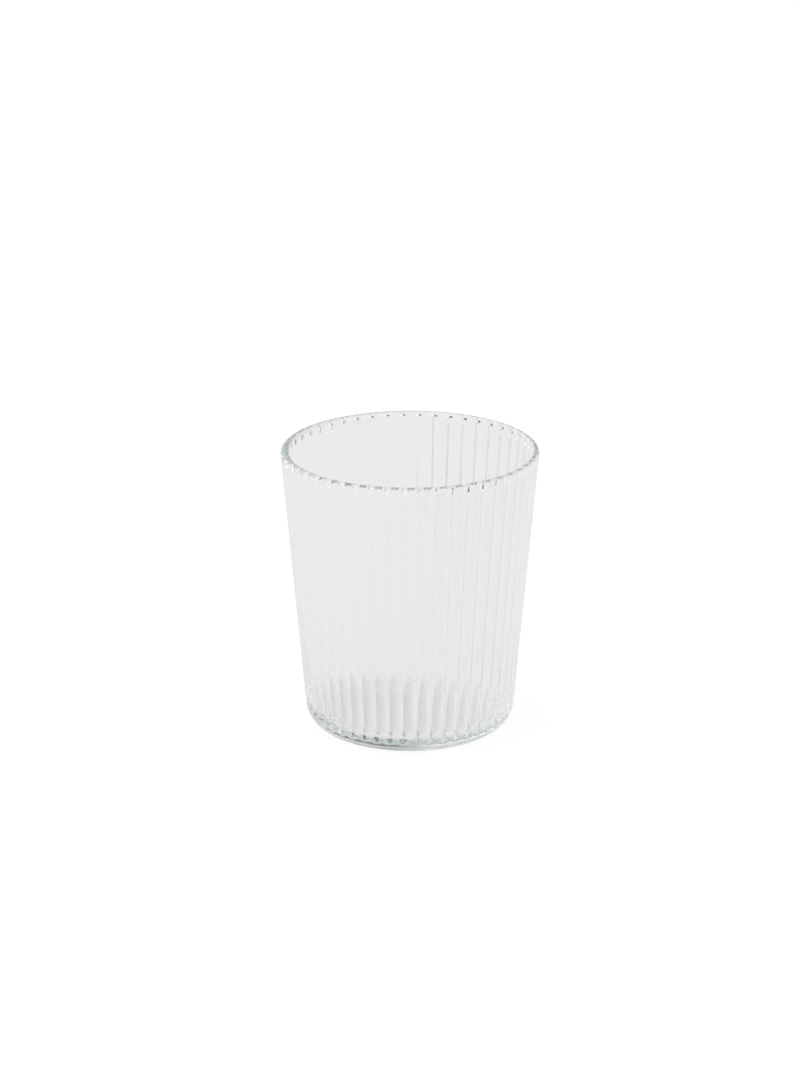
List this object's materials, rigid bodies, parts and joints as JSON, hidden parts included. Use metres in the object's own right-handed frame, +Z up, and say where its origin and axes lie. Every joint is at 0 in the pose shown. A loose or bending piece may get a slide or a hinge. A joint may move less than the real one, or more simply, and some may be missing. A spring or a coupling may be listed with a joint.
{
  "type": "water glass",
  "caption": "Tapered clear pressed-glass tumbler with fine upright reeds inside and outside, a smooth round lip, a rounded heel and a thick base, for water and other drinks.",
  "frame": {"origin": "on the axis, in the plane that the foot ring stands on", "axes": "+Z up along the axis towards the mouth; a reed's crest faces -Y, the front in the picture"},
  "size_m": [0.088, 0.088, 0.099],
  "materials": {
    "clear_glass": "clear soda-lime glass with a faint green-grey tint, fire-polished"
  },
  "bodies": {
    "root": {"tumbler": "clear_glass"}
  },
  "joints": []
}
